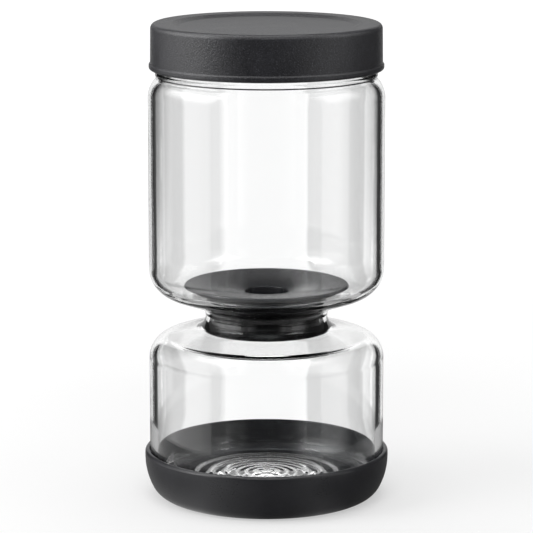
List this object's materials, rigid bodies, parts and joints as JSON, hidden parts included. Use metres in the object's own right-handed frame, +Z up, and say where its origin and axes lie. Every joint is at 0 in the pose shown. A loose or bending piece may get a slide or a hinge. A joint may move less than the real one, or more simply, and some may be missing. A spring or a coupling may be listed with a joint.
{
  "type": "two-chamber glass brewer",
  "caption": "Hourglass clear glass vessel with a dark screw lid, a trumpet-shaped drain funnel sealed into its waist and a soft cup base.",
  "frame": {"origin": "on the vessel's axis, at the underside of the base cup", "axes": "+Z up along the vessel's axis; X and Y are free, since the object is round"},
  "size_m": [0.1042, 0.1042, 0.2033],
  "materials": {
    "base_silicone": "matte",
    "clear_glass": "gloss",
    "funnel_plastic": "matte",
    "seal_silicone": "satin",
    "strainer_steel": "satin",
    "gasket_silicone": "matte",
    "liner_plastic": "satin",
    "lid_coating": "matte"
  },
  "bodies": {
    "base": {"base_cup": "base_silicone"},
    "vessel": {"glass_vessel": "clear_glass"},
    "funnel": {"funnel_dish": "funnel_plastic", "neck_seal": "seal_silicone", "strainer_disc": "strainer_steel"},
    "lid_seal": {"lid_gasket": "gasket_silicone"},
    "lid": {"lid_liner": "liner_plastic", "lid_shell": "lid_coating"}
  },
  "joints": [
    {"name": "vessel_lift", "type": "slide", "parent": "base", "child": "vessel", "axis": [0, 0, 1], "range_m": [0, 0.03]},
    {"name": "funnel_lift", "type": "slide", "parent": "vessel", "child": "funnel", "axis": [0, 0, 1], "range_m": [0, 0.075], "deforming": ["neck_seal"]},
    {"name": "lid_lift", "type": "slide", "parent": "vessel", "child": "lid_seal", "axis": [0, 0, 1], "range_m": [0, 0.1]},
    {"name": "lid_turn", "type": "hinge", "parent": "lid_seal", "child": "lid", "pos_m": [0, 0, 0.2], "axis": [0, 0, 1], "range_deg": [0, 450]}
  ]
}
